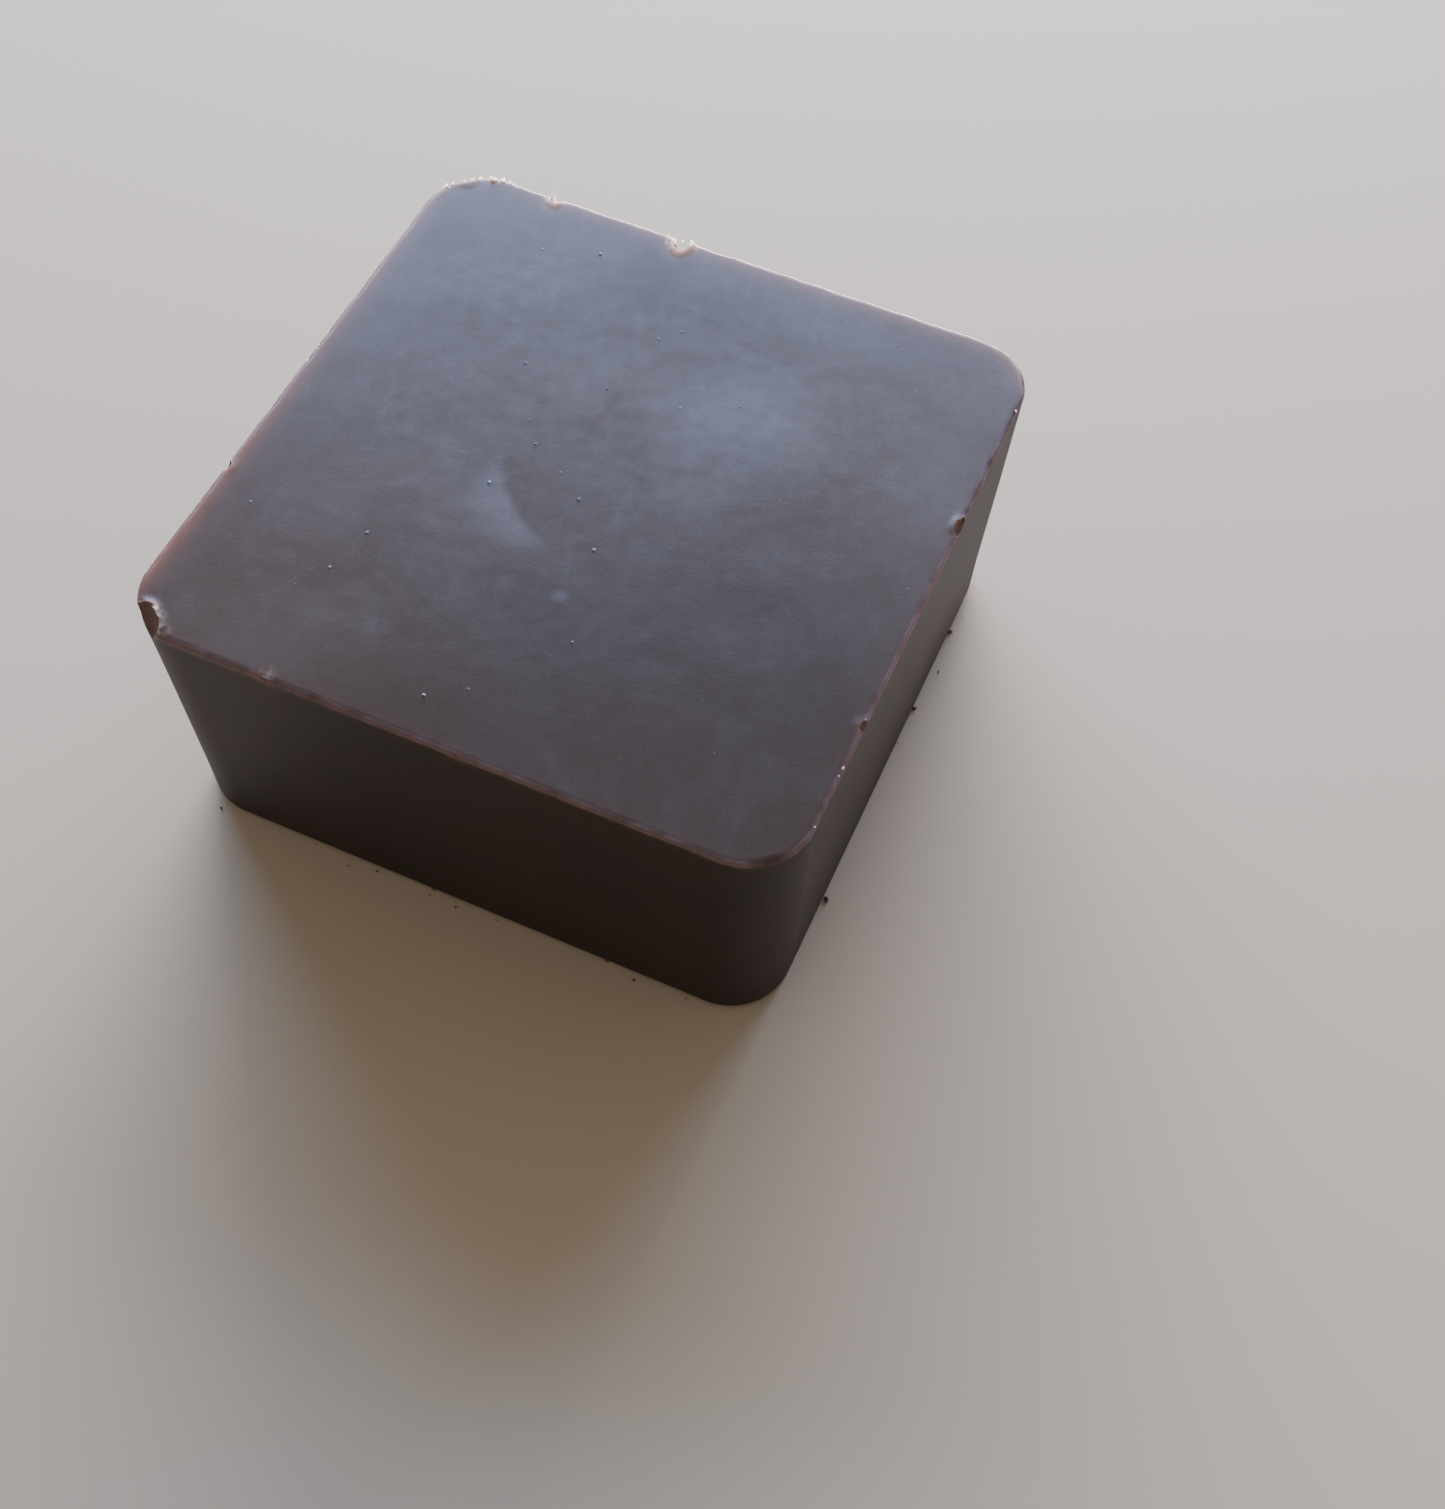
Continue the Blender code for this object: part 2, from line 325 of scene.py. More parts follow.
def outward(x, y):
    """Which way the lip faces at its point nearest to this one, seen from above."""
    inner = SIDE / 2 - RIM_CORNER
    past = Vector((max(abs(x) - inner, 0.0), max(abs(y) - inner, 0.0)))
    return Vector((math.copysign(past.x, x), math.copysign(past.y, y))).normalized()


def crease_place(crease, x, y):
    """A point's distance outside the arc of a crease, and how much of the crease is beside it."""
    dx, dy = x - crease.centre[0], y - crease.centre[1]
    across = math.hypot(dx, dy) - crease.radius
    turn = math.degrees(math.atan2(dy, dx)) % 360
    along = (turn - crease.start) / (crease.end - crease.start)
    return across, smooth(along / 0.45) * smooth((1.0 - along) / 0.45)


def crease_height(crease, x, y):
    """Height of a crease at a point: sharp and deepest on its arc, easing out over its two banks."""
    across, share = crease_place(crease, x, y)
    width = crease.outer if across > 0 else crease.inner
    return -crease.depth * share * max(1.0 - abs(across) / width, 0.0) ** 2


def poured_height(x, y, frames):
    """Height of the poured face over its edge: dished, rippled and creased, with burrs at the chips."""
    edge = max(abs(x), abs(y)) / (SIDE / 2)
    fade = smooth((1.0 - edge) / 0.35)
    height = -DISH_DEPTH * smooth(1.0 - math.hypot(x, y) / (SIDE / 2))
    height -= RIPPLE_DEPTH * (1.0 - wrinkle(x, y, RIPPLE_LENGTH, 1)) / 2
    for crease in CREASES:
        height += crease_height(crease, x, y)
    for swell in SWELLS:
        reach = math.hypot(x - swell.centre[0], y - swell.centre[1]) / swell.radius
        height += swell.height * smooth(1.0 - reach)
    skin = SKIN_DEPTH * (wrinkle(x, y, SKIN_LENGTH, 4) + 0.5 * wrinkle(x, y, SKIN_LENGTH / 2.3, 5))
    height = min(height, 0.0) * fade + skin * fade
    if edge > 0.85:
        gap = chip_gap(Vector((x, y, HEIGHT)), frames)
        height += BURR_HEIGHT * smooth(1.0 - abs(gap) / BURR_WIDTH)
    return height


def profile():
    """Rings from the base up to the poured face.

    Each has its inset from the lip, height, corner radius, raggedness and how deep its dents are.
    """
    rings = []
    for step in range(BASE_STEPS + 1):
        turn = math.pi / 2 * step / BASE_STEPS
        inward = BASE_ROUND * (1.0 - math.sin(turn))
        height = BASE_ROUND * (1.0 - math.cos(turn))
        rings.append((BASE_INSET + inward, height, BASE_CORNER - inward, 0.0, 0.0))
    wall_top = HEIGHT - LIP_DROP - RIM_DROP
    for step in range(1, WALL_STEPS + 1):
        share = step / WALL_STEPS
        inset = BASE_INSET + (LIP_REACH - BASE_INSET) * share
        corner = BASE_CORNER + (RIM_CORNER - LIP_REACH - BASE_CORNER) * share
        rings.append((inset, BASE_ROUND + (wall_top - BASE_ROUND) * share, corner, 0.0, 0.0))
    for step in range(1, LIP_STEPS + 1):
        share = step / LIP_STEPS
        inset = LIP_REACH * (1.0 - share ** 2)
        rings.append((inset, wall_top + LIP_DROP * share, RIM_CORNER - inset, share, 0.0))
    for step in range(1, RIM_STEPS + 1):
        turn = math.pi / 2 * step / RIM_STEPS
        inset = RIM_WIDTH * (1.0 - math.cos(turn))
        height = HEIGHT - RIM_DROP * (1.0 - math.sin(turn))
        rings.append((inset, height, RIM_CORNER - inset, 1.0, math.sin(2.0 * turn)))
    return rings


def ragged(x, y):
    """How far the lip falls back from its full outline at a point."""
    wave = wrinkle(x, y, RAG_LENGTH, 2) + 0.5 * wrinkle(x, y, RAG_LENGTH / 2, 3)
    fray = abs(wrinkle(x, y, FRAY_LENGTH, 6))
    return RAG_DEPTH * min(max(wave, 0.0), 1.0) + FRAY_DEPTH * fray


def rim_dent(x, y):
    """How far the rounding of the lip's upper edge sinks at a point."""
    wave = wrinkle(x, y, RIM_DENT_LENGTH, 11) + 0.6 * wrinkle(x, y, RIM_DENT_LENGTH / 2.7, 12)
    return RIM_DENT * min(max(0.4 + wave, 0.0), 1.0)


def wall_hollow(x, y, z):
    """How far a wall falls back at a point: nothing at its foot and its lip."""
    share = z / HEIGHT
    wave = noise.noise(Vector((x, y, z)) / WALL_LENGTH + Vector((3.0, 1.0, 8.0)))
    return WALL_DEPTH * (0.5 + wave) * smooth(share / 0.2) * smooth((1.0 - share) / 0.2)


def block_mesh(frames):
    """The whole piece before it is chipped: base, rounded foot, walls, lip and poured face."""
    work = bmesh.new()
    rings = []
    for inset, height, corner, rag, dents in profile():
        ring = []
        for place in border(GRID):
            x, y = on_rounded_square(*grid_uv(place, GRID), SIDE / 2 - inset, corner)
            dent = dents * rim_dent(x, y)
            back = 1.0 - (rag * ragged(x, y) + wall_hollow(x, y, height) + dent) / (SIDE / 2)
            ring.append(work.verts.new((x * back, y * back, height - dent)))
        rings.append(ring)
    for lower, upper in zip(rings, rings[1:]):
        for k, vert in enumerate(lower):
            after = (k + 1) % len(lower)
            work.faces.new((vert, lower[after], upper[after], upper[k]))
    work.faces.new(list(reversed(rings[0])))

    poured = dict(zip(border(GRID), rings[-1]))
    half, corner = SIDE / 2 - RIM_WIDTH, RIM_CORNER - RIM_WIDTH
    for i in range(1, GRID):
        for j in range(1, GRID):
            x, y = on_rounded_square(*grid_uv((i, j), GRID), half, corner)
            poured[i, j] = work.verts.new((x, y, HEIGHT + poured_height(x, y, frames)))
    for i in range(GRID):
        for j in range(GRID):
            corners = ((i, j), (i + 1, j), (i + 1, j + 1), (i, j + 1))
            work.faces.new([poured[place] for place in corners])

    mesh = bpy.data.meshes.new("fudge_piece")
    work.to_mesh(mesh)
    work.free()
    return mesh


def lip_place(chip):
    """The point of the lip's outline where a chip is centred."""
    facing = math.radians(chip.heading)
    out = Vector((math.cos(facing), math.sin(facing)))
    along = Vector((-out.y, out.x))
    reach = SIDE / 2
    if chip.heading % 90:
        reach = math.sqrt(2) * (SIDE / 2 - RIM_CORNER) + RIM_CORNER
    return out * reach + along * chip.along


def chip_frame(chip):
    """Turns the unit ball into a chip's scoop."""
    stretch = Matrix.Diagonal((chip.reach, chip.width / 2, chip.drop, 1.0))
    turn = Matrix.Rotation(math.radians(chip.heading), 4, "Z")
    spot = lip_place(chip)
    return Matrix.Translation((spot.x, spot.y, HEIGHT)) @ turn @ stretch


def chip_frames():
    """Each chip with the matrix that takes a point of the piece into its unit ball."""
    return [(chip, chip_frame(chip).inverted()) for chip in CHIPS]


def chip_surface(direction, chip):
    """Distance of the rough ball's surface from its centre in a direction."""
    rough = CHIP_ROUGHNESS * noise.noise(direction * 1.7 + Vector((chip.seed * 5.1, 0, 0)))
    grain = CHIP_GRAIN * noise.noise(direction * 9.0 + Vector((0, chip.seed * 3.7, 0)))
    return 1.0 + rough + grain


def chip_gap(point, frames):
    """Distance from a point to the nearest chip's surface, over 0 outside the chip."""
    nearest = SIDE
    for chip, inward in frames:
        local = inward @ point
        distance = local.length
        if distance < 4.0:
            scale = min(chip.reach, chip.width / 2)
            gap = (distance - chip_surface(local.normalized(), chip)) * scale
            nearest = gap if abs(gap) < abs(nearest) else nearest
    return nearest


def chip_cutters():
    """Every chip's cutter, in one collection, so that one cut takes them all."""
    cutters = bpy.data.collections.new("chip_cutters")
    bpy.context.scene.collection.children.link(cutters)
    for chip in CHIPS:
        work = bmesh.new()
        bmesh.ops.create_icosphere(work, subdivisions=CHIP_DETAIL, radius=1.0)
        for vert in work.verts:
            vert.co *= chip_surface(vert.co.normalized(), chip)
        work.transform(chip_frame(chip))
        mesh = bpy.data.meshes.new("chip_cutter")
        work.to_mesh(mesh)
        work.free()
        cutters.objects.link(bpy.data.objects.new(f"chip_cutter_{chip.seed}", mesh))
    return cutters


def finished_mesh(piece):
    """The piece's mesh with its modifiers applied, in place of the old one."""
    scene_now = bpy.context.evaluated_depsgraph_get()
    mesh = bpy.data.meshes.new_from_object(piece.evaluated_get(scene_now))
    piece.modifiers.clear()
    piece.data = mesh
    return mesh


def show(name, mesh):
    """A new piece in the scene."""
    piece = bpy.data.objects.new(name, mesh)
    bpy.context.scene.collection.objects.link(piece)
    return piece


def patchiness(patches, x, y):
    """The sum of some round patches at a point, each fading out towards its edge."""
    total = 0.0
    for patch in patches:
        reach = math.hypot(x - patch.centre[0], y - patch.centre[1]) / patch.radius
        total += patch.haze * smooth(1.4 * (1.0 - reach))
    return total


def scratched(x, y):
    """The sum of the scratches at a point, each strongest along its middle."""
    total = 0.0
    for scratch in SCRATCHES:
        start = Vector(scratch.start)
        line = Vector(scratch.end) - start
        share = min(max((Vector((x, y)) - start).dot(line) / line.length_squared, 0.0), 1.0)
        away = (Vector((x, y)) - start - line * share).length / scratch.width
        if away < 1.0:
            ends = smooth(4.0 * share) * smooth(4.0 * (1.0 - share))
            total += scratch.haze * smooth(1.0 - away) * ends
    return total


def haze(x, y):
    """Bloom with painted sheen and shade on the poured face: over 0 where it is paler than round about,
    under 0 where darker.
    """
    total = 0.0
    for crease in CREASES:
        across, share = crease_place(crease, x, y)
        if share == 0.0:
            continue
        # Painted highlight on the bank outside the fold, painted shade on the bank inside it.
        outside = smooth(0.5 + across / CREASE_LINE)
        bright = smooth(1.3 - max(across, 0.0) / (crease.outer * share))
        dark = 0.25 * max(1.0 + min(across, 0.0) / crease.inner, 0.0)
        total += crease.haze * share * (outside * bright - (1.0 - outside) * dark)
    return total + patchiness(PATCHES, x, y) + scratched(x, y)


def speck_sizes(mesh):
    """The size of the big speck at each point of the poured face that is nearest to one."""
    sizes = [0.0] * len(mesh.vertices)
    face = [vert for vert in mesh.vertices if HEIGHT - vert.co.z < HAZE_DROP]
    for places, size in ((BIG_SPECKS, BIG_SPECK), (SMALL_SPECKS, SMALL_SPECK)):
        for x, y in places:
            spot = Vector((x * MM, y * MM))
            nearest = min(face, key=lambda vert: (vert.co.xy - spot).length_squared)
            sizes[nearest.index] = size
    return sizes


def surface_marks(point, frames):
    """The marks of a point: how far it is poured, lip, broken, torn, hazy and so on."""
    x, y = point.x, point.y
    drop = max(HEIGHT - point.z, 0.0)
    if drop > MARKS_DROP:
        return Marks()
    inset = max(lip_inset(x, y), 0.0)
    gap = chip_gap(point, frames)
    broken = 1.0 - smooth(abs(gap) / BREAK_SKIN) if drop > 0.01 * MM else 0.0
    whole = 1.0 - broken
    torn = faded(gap, TORN_WIDTH) * whole
    backlit = smooth(0.4 + 0.9 * outward(x, y).dot(WINDOW_SIDE))
    # Painted red glow of light through the thin lip, weaker on the side that faces the window.
    lip = faded(inset, LIP_WIDTH) * faded(drop, LIP_FADE) * (1.0 - 0.5 * backlit)
    # Painted shine of light from behind through the lip, on the side that faces the window.
    shine = backlit * faded(inset, SHINE_WIDTH) * faded(drop, SHINE_DROP) * whole
    pale = faded(drop, CREAM_DROP) * patchiness(PALE_SPOTS, x, y) * whole
    # A cream line along the corner's chip: partly its own cream, partly a painted highlight on the
    # chip's edge.
    if max(x, y) < CORNER_BREAK:
        pale += 0.4 * smooth(1.0 - abs(gap) / CREAM_LINE) * whole
    # Painted glow of light from behind, beside the chips on the far side.
    glow = 0.0
    if abs(x) <= 0.8 * y:
        glow = faded(gap, GLOW_REACH) * faded(drop, GLOW_DROP * (0.3 + 0.7 * broken))
    marks = Marks(lip=lip, broken=broken, torn=torn, pale=pale, glow=glow, shine=shine)
    if drop > HAZE_DROP:
        return marks
    poured = 1.0 if inset > RIM_WIDTH else smooth(1.15 - drop / BLOOM_FADE)
    # Painted shade over the near right of the poured face.
    plain = patchiness((SHADE_PATCH,), x, y)
    return marks._replace(poured=poured * whole, haze=haze(x, y), plain=plain)


def add_attributes(mesh, frames):
    """Stores the marks of every point, for the material and the specks to read."""
    marks = [surface_marks(vert.co, frames) for vert in mesh.vertices]
    columns = dict(zip(Marks._fields, zip(*marks)))
    columns["speck"] = speck_sizes(mesh)
    for name, values in columns.items():
        mesh.attributes.new(name, "FLOAT", "POINT").data.foreach_set("value", values)


def fudge_piece(material):
    """The fine fudge that stands for the plain solid."""
    frames = chip_frames()
    piece = show("fudge_piece", block_mesh(frames))
    piece.data.materials.append(material)
    cutters = chip_cutters()
    chips = piece.modifiers.new("chips", "BOOLEAN")
    chips.operation = "DIFFERENCE"
    chips.solver = "EXACT"
    chips.operand_type = "COLLECTION"
    chips.collection = cutters
    mesh = finished_mesh(piece)
    for cutter in list(cutters.objects):
        bpy.data.objects.remove(cutter, do_unlink=True)
    bpy.data.collections.remove(cutters)
    add_attributes(mesh, frames)
    mesh.shade_smooth()
    mesh.set_sharp_from_angle(angle=math.radians(SHARP_ANGLE))
    return piece


# Nodes ------------------------------------------------------------------------------------------

class Field:
    """A value that varies from place to place; sums on it add Math nodes."""

    def __init__(self, board, socket):
        self.board, self.socket = board, socket

    def out(self, name):
        """Another output of the node that gives this value."""
        return Field(self.board, self.socket.node.outputs[name])

    def maths(self, operation, *others, swapped=False):
        """A Math node on this value and others, or on them and then this one."""
        terms = (*others, self) if swapped else (self, *others)
        return self.board.node("ShaderNodeMath", {"operation": operation}, dict(enumerate(terms)))

    def __add__(self, other):
        return self.maths("ADD", other)

    def __radd__(self, other):
        return self.maths("ADD", other, swapped=True)

    def __sub__(self, other):
        return self.maths("SUBTRACT", other)

    def __rsub__(self, other):
        return self.maths("SUBTRACT", other, swapped=True)

    def __mul__(self, other):
        return self.maths("MULTIPLY", other)

    def __rmul__(self, other):
        return self.maths("MULTIPLY", other, swapped=True)

    def __pow__(self, other):
        return self.maths("POWER", other)

    def __gt__(self, other):
        return self.maths("GREATER_THAN", other)

    def ease(self, low, high):
        """0 below low, 1 above high, and smooth between."""
        return self.board.node(
            "ShaderNodeMapRange",
            {"interpolation_type": "SMOOTHSTEP", "clamp": True},
            {"Value": self, "From Min": low, "From Max": high},
        )


class Board:
    """A node tree, and the one method that adds nodes to it."""

    def __init__(self, tree):
        self.tree = tree

    def node(self, kind, settings=None, sockets=None, output=0):
        """Adds a node: its settings first, then the values or links of its sockets."""
        made = self.tree.nodes.new(kind)
        for name, value in (settings or {}).items():
            setattr(made, name, value)
        for name, value in (sockets or {}).items():
            for single in value if isinstance(value, list) else [value]:
                if isinstance(single, Field):
                    self.tree.links.new(single.socket, made.inputs[name])
                else:
                    made.inputs[name].default_value = single
        return Field(self, made.outputs[output]) if made.outputs else None


class Finish(Board):
    """One material and the nodes that make it."""

    def __init__(self, name):
        self.material = bpy.data.materials.new(name)
        self.material.use_nodes = True
        super().__init__(self.material.node_tree)
        self.tree.nodes.clear()
        self.place = self.node("ShaderNodeTexCoord", output="Object")

    def noise(self, length, detail=3.0, roughness=0.5, distortion=0.0, place=None):
        """Cloudy noise whose waves are about the given length, from 0 to 1."""
        return self.node(
            "ShaderNodeTexNoise",
            {"noise_dimensions": "3D"},
            {"Vector": place or self.place, "Scale": 1.0 / length, "Detail": detail,
             "Roughness": roughness, "Distortion": distortion},
        )

    def turned(self, tilt, turn, scale=(1.0, 1.0, 1.0)):
        """Object coordinates turned and then stretched, for a pattern with a grain, or with none."""
        angles = (math.radians(tilt), 0.0, math.radians(turn))
        return self.node(
            "ShaderNodeMapping",
            {"vector_type": "TEXTURE"},
            {"Vector": self.place, "Rotation": angles, "Scale": scale},
        )

    def blend(self, share, first, second):
        """A colour between two others."""
        return self.node(
            "ShaderNodeMix",
            {"data_type": "RGBA", "clamp_factor": True},
            {0: share, 6: first, 7: second},
            2,
        )

    def attribute(self, name):
        """One of the marks stored on the mesh."""
        return self.node("ShaderNodeAttribute", {"attribute_name": name}, {}, "Fac")

    def bump(self, height, distance, under=None):
        """Relief, on top of the relief under it."""
        sockets = {"Height": height, "Distance": distance, "Strength": 1.0}
        if under:
            sockets["Normal"] = under
        return self.node("ShaderNodeBump", {}, sockets)

    def surface(self, sockets):
        """Ends the material with its shader."""
        shader = self.node("ShaderNodeBsdfPrincipled", {}, sockets)
        self.node("ShaderNodeOutputMaterial", {}, {"Surface": shader})
        return self.material


class Growth(Board):
    """A Geometry Nodes tree with named inputs, which grows small things on a mesh."""

    KINDS = {float: "NodeSocketFloat", int: "NodeSocketInt", bpy.types.Material: "NodeSocketMaterial"}

    def __init__(self, name, inputs):
        super().__init__(bpy.data.node_groups.new(name, "GeometryNodeTree"))
        sockets = self.tree.interface
        sockets.new_socket("Geometry", in_out="INPUT", socket_type="NodeSocketGeometry")
        sockets.new_socket("Geometry", in_out="OUTPUT", socket_type="NodeSocketGeometry")
        self.values = {}
        for label, value in inputs.items():
            socket = sockets.new_socket(label, in_out="INPUT", socket_type=self.KINDS[type(value)])
            self.values[socket.identifier] = value
        self.given = self.node("NodeGroupInput")

    def stored(self, name, kind="FLOAT"):
        """A value stored on the mesh."""
        return self.node("GeometryNodeInputNamedAttribute", {"data_type": kind}, {"Name": name})

    def store(self, geometry, name, value):
        """The geometry with a value stored on each of its points."""
        return self.node(
            "GeometryNodeStoreNamedAttribute",
            {"data_type": "FLOAT", "domain": "POINT"},
            {"Geometry": geometry, "Name": name, "Value": value},
        )

    def random(self, low, high, seed):
        """A number for each thing; sockets 2 and 3 are its least and its most."""
        return self.node(
            "FunctionNodeRandomValue", {"data_type": "FLOAT"}, {2: low, 3: high, "Seed": seed}, 1)

    def random_turn(self, low, high, seed):
        """A rotation for each thing, from its least and its most angles."""
        angles = self.node(
            "FunctionNodeRandomValue", {"data_type": "FLOAT_VECTOR"}, {0: low, 1: high, "Seed": seed})
        return self.node("FunctionNodeEulerToRotation", {}, {"Euler": angles})

    def joined(self, *axes):
        """A vector of three numbers."""
        return self.node("ShaderNodeCombineXYZ", {}, dict(zip("XYZ", axes)))

    def roughened(self, geometry, amount, length):
        """Moves every corner a little, so that no two things are alike."""
        cloud = self.node(
            "ShaderNodeTexNoise", {}, {"Scale": 1.0 / length, "Detail": 1.0}, "Color")
        centred = self.node(
            "ShaderNodeVectorMath", {"operation": "SUBTRACT"}, {0: cloud, 1: (0.5, 0.5, 0.5)})
        shift = self.node(
            "ShaderNodeVectorMath", {"operation": "SCALE"}, {"Vector": centred, "Scale": amount})
        return self.node("GeometryNodeSetPosition", {}, {"Geometry": geometry, "Offset": shift})

    def finish(self, geometry):
        """Ends the tree: real faces, flat and with their material."""
        flat = self.node(
            "GeometryNodeSetShadeSmooth", {}, {"Geometry": geometry, "Shade Smooth": False})
        dressed = self.node(
            "GeometryNodeSetMaterial", {}, {"Geometry": flat, "Material": self.given.out("Material")})
        self.node("NodeGroupOutput", {}, {"Geometry": dressed})

    def grow(self, name, mesh):
        """Runs the tree on a mesh, and gives a piece that is a plain mesh."""
        piece = show(name, mesh)
        modifier = piece.modifiers.new(name, "NODES")
        modifier.node_group = self.tree
        for identifier, value in self.values.items():
            modifier[identifier] = value
        finished_mesh(piece)
        return piece


# Small things on and round the piece ----------------------------------------------------------

def sugar_specks(fudge, material):
    """Specks of sugar: the big ones where they are marked, and fine ones all over the poured face."""
    growth = Growth("sugar_specks", {
        "Material": material,
        "Specks per square metre": 1.0e5,
        "Smallest": 0.03 * MM,
        "Largest": 0.10 * MM,
        "Flatness": 0.3,
        "Seed": 4,
    })
    given = growth.given
    fine = growth.node("GeometryNodeDistributePointsOnFaces", {}, {
        "Mesh": given.out("Geometry"),
        "Selection": growth.stored("poured") - growth.stored("lip") > 0.8,
        "Density": given.out("Specks per square metre"),
        "Seed": given.out("Seed"),
    })
    chance = growth.random(0.0, 1.0, given.out("Seed"))
    spread = given.out("Largest") - given.out("Smallest")
    fine = growth.store(fine, "size", given.out("Smallest") + spread * chance ** 3.0)
    big = growth.node("GeometryNodeMeshToPoints", {}, {
        "Mesh": given.out("Geometry"),
        "Selection": growth.stored("speck") > 0.0,
    })
    big = growth.store(big, "size", growth.stored("speck"))
    places = growth.node("GeometryNodeJoinGeometry", {}, {"Geometry": [fine, big]})
    size = growth.stored("size")
    specks = growth.node("GeometryNodeInstanceOnPoints", {}, {
        "Points": places,
        "Instance": growth.node("GeometryNodeMeshIcoSphere", {}, {"Radius": 0.5, "Subdivisions": 1}),
        "Rotation": growth.random_turn((-0.2, -0.2, 0.0), (0.2, 0.2, math.tau), given.out("Seed")),
        "Scale": growth.joined(size, size * 0.75, size * given.out("Flatness")),
    })
    solid = growth.node("GeometryNodeRealizeInstances", {}, {"Geometry": specks})
    growth.finish(growth.roughened(solid, growth.stored("size") * 0.5, 0.12 * MM))
    return growth.grow("sugar_specks", fudge.data.copy())


def lip_points():
    """Points close together along the lip, and where each flake stands.

    Each carries how likely a flake is there, its width, height and lean, and which way the lip runs.
    """
    half, corner = SIDE / 2 - FLAKE_INSET, RIM_CORNER - FLAKE_INSET
    uvs = [grid_uv(place, LIP_PLACES) for place in border(LIP_PLACES)]
    round_lip = [on_rounded_square(u, v, half, corner) for u, v in uvs]
    rows = []
    for k, (x, y) in enumerate(round_lip):
        ahead = round_lip[(k + 1) % len(round_lip)]
        along = Vector((ahead[0] - x, ahead[1] - y, 0.0)).normalized()
        away = math.hypot(x - TORN_CORNER[0], y - TORN_CORNER[1])
        torn = smooth(1.6 - away / TORN_CORNER_REACH)
        far_side = smooth((y - TORN_SIDE[1]) / (0.3 * MM)) * smooth((TORN_SIDE[0] - x) / (2.0 * MM))
        patchy = smooth(wrinkle(x, y, PATCH_LENGTH, 9) * 2.0)
        chance = 0.005 + 0.35 * torn + 0.20 * far_side * patchy + 0.01 * patchy
        tall = FLAKE_HEIGHT + TORN_CORNER_GAIN * torn
        rows.append((Vector((x, y, HEIGHT - FLAKE_SINK)), along, chance, FLAKE_WIDTH, tall, 0.0))
    certain = 2.0
    for flake in FLAKES:
        place = Vector((flake.x * MM, flake.y * MM, HEIGHT - BIG_FLAKE_SINK))
        size = (flake.width * MM, flake.height * MM)
        rows.append((place, Vector((1, 0, 0)), certain, *size, flake.lean))
    mesh = bpy.data.meshes.new("lip_points")
    mesh.from_pydata([row[0] for row in rows], [], [])
    mesh.attributes.new("along", "FLOAT_VECTOR", "POINT").data.foreach_set(
        "vector", [number for row in rows for number in row[1]])
    for column, name in enumerate(("chance", "width", "tall", "lean"), start=2):
        mesh.attributes.new(name, "FLOAT", "POINT").data.foreach_set(
            "value", [row[column] for row in rows])
    return mesh


def lip_flakes(material):
    """Thin flakes standing on the lip where the fudge tore from its mould."""
    growth = Growth("lip_flakes", {
        "Material": material,
        "Thickness to width": 0.45,
        "Seed": 7,
    })
    given = growth.given
    kept = growth.random(0.0, 1.0, given.out("Seed"))
    places = growth.node("GeometryNodeMeshToPoints", {}, {
        "Mesh": given.out("Geometry"),
        "Selection": growth.stored("chance") - kept > 0.0,
    })
    vary = growth.random(0.55, 1.3, given.out("Seed") + 1)
    facing = growth.node("FunctionNodeAlignRotationToVector", {"axis": "X"}, {
        "Vector": growth.stored("along", "FLOAT_VECTOR"),
    })
    leaning = growth.node("FunctionNodeEulerToRotation", {}, {
        "Euler": growth.joined(growth.stored("lean"), 0.0, 0.0),
    })
    turned = growth.node("FunctionNodeRotateRotation", {"rotation_space": "LOCAL"}, {
        "Rotation": facing,
        "Rotate By": leaning,
    })
    turned = growth.node("FunctionNodeRotateRotation", {"rotation_space": "LOCAL"}, {
        "Rotation": turned,
        "Rotate By": growth.random_turn((-0.5, -0.35, -0.4), (0.5, 0.35, 0.4), given.out("Seed") + 2),
    })
    blade = growth.node("GeometryNodeMeshCone", {}, {
        "Vertices": 6, "Side Segments": 3, "Radius Top": 0.14, "Radius Bottom": 0.5, "Depth": 1.0,
    })
    width = growth.stored("width") * vary
    size = growth.joined(width, width * given.out("Thickness to width"), growth.stored("tall") * vary)
    flakes = growth.node("GeometryNodeInstanceOnPoints", {}, {
        "Points": places, "Instance": blade, "Rotation": turned, "Scale": size,
    })
    solid = growth.node("GeometryNodeRealizeInstances", {}, {"Geometry": flakes})
    growth.finish(growth.roughened(solid, 0.09 * MM, 0.16 * MM))
    return growth.grow("lip_flakes", lip_points())


def foot_strip():
    """A narrow strip of the surface that the piece lies on, all round its foot."""
    work = bmesh.new()
    rings = []
    for reach in FOOT_STRIP:
        half, corner = SIDE / 2 - BASE_INSET + reach, BASE_CORNER + reach
        ring = []
        for place in border(FOOT_STEPS):
            x, y = on_rounded_square(*grid_uv(place, FOOT_STEPS), half, corner)
            ring.append(work.verts.new((x, y, 0.0)))
        rings.append(ring)
    for k, inner in enumerate(rings[0]):
        after = (k + 1) % len(rings[0])
        work.faces.new((inner, rings[1][k], rings[1][after], rings[0][after]))
    mesh = bpy.data.meshes.new("foot_strip")
    work.to_mesh(mesh)
    work.free()
    return mesh


